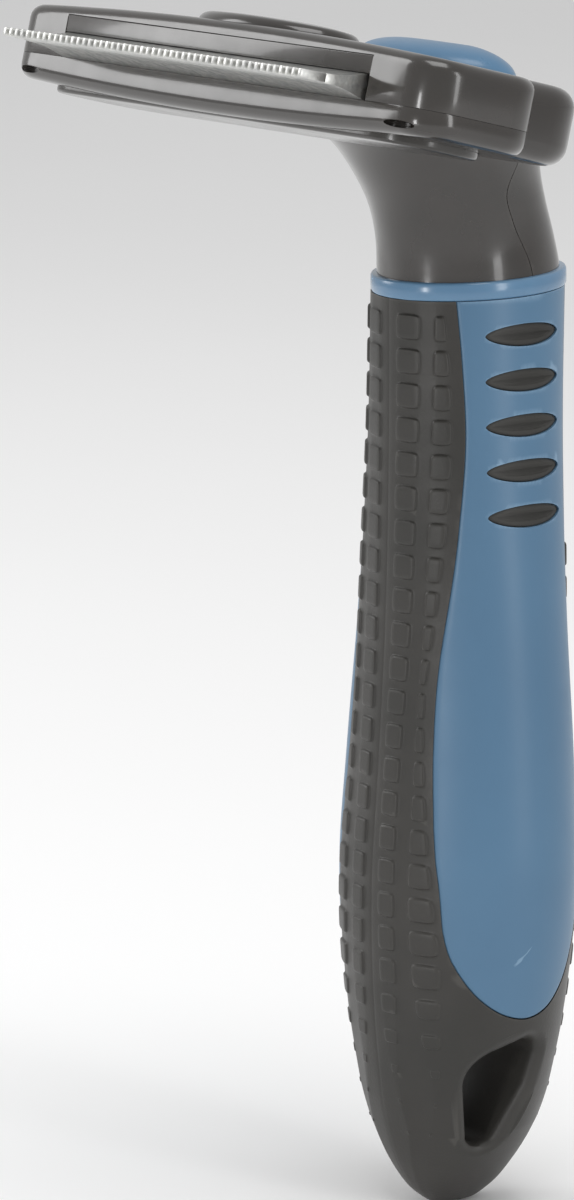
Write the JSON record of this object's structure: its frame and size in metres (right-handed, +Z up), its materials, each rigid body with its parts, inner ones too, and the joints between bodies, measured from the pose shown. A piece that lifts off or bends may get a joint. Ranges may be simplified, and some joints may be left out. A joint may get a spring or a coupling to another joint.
{
  "type": "carding comb",
  "caption": "Upright pet carding comb with a fine-toothed steel blade across its head, a thumb-operated hair ejector and a soft oval grip with a hang hole.",
  "frame": {"origin": "in the hang hole, on the handle's axis", "axes": "+Z up the handle, X along the blade, -Y the side the teeth point to"},
  "size_m": [0.082, 0.0624, 0.1501],
  "materials": {
    "core_plastic": "moulded",
    "grip_rubber": "soft matte with embossed squares",
    "panel_blue": "satin",
    "insert_rubber": "soft matte",
    "collar_blue": "glossy",
    "button_blue": "glossy",
    "shell_plastic": "polished",
    "cover_plastic": "satin",
    "ejector_plastic": "moulded",
    "blade_steel": "ground and brushed",
    "screw_steel": "zinc plated",
    "spring_steel": "drawn wire"
  },
  "bodies": {
    "frame": {"handle_core": "core_plastic", "grip_overmould": "grip_rubber", "side_panel_left": "panel_blue", "side_panel_right": "panel_blue", "panel_inserts_left": "insert_rubber", "panel_inserts_right": "insert_rubber", "collar_ring": "collar_blue", "tang_screws": "screw_steel", "neck_body": "shell_plastic", "neck_back_cover": "shell_plastic", "neck_screw_plug": "shell_plastic", "neck_screw": "screw_steel", "head_upper_shell": "shell_plastic", "head_lower_shell": "shell_plastic", "head_lower_cover": "cover_plastic", "head_back_shell": "shell_plastic", "head_screws": "screw_steel", "blade_screws": "screw_steel", "shell_screws": "screw_steel", "blade": "blade_steel", "ejector_springs": "spring_steel", "spring_pins": "screw_steel"},
    "ejector": {"ejector_bar": "ejector_plastic", "ejector_slide": "ejector_plastic", "eject_button": "button_blue"}
  },
  "joints": [
    {"name": "eject_slide", "type": "slide", "parent": "frame", "child": "ejector", "axis": [0, -0.9744, 0.225], "range_m": [0, 0.008], "stiffness_N_per_m": 350, "deforming": ["ejector_springs"]}
  ]
}
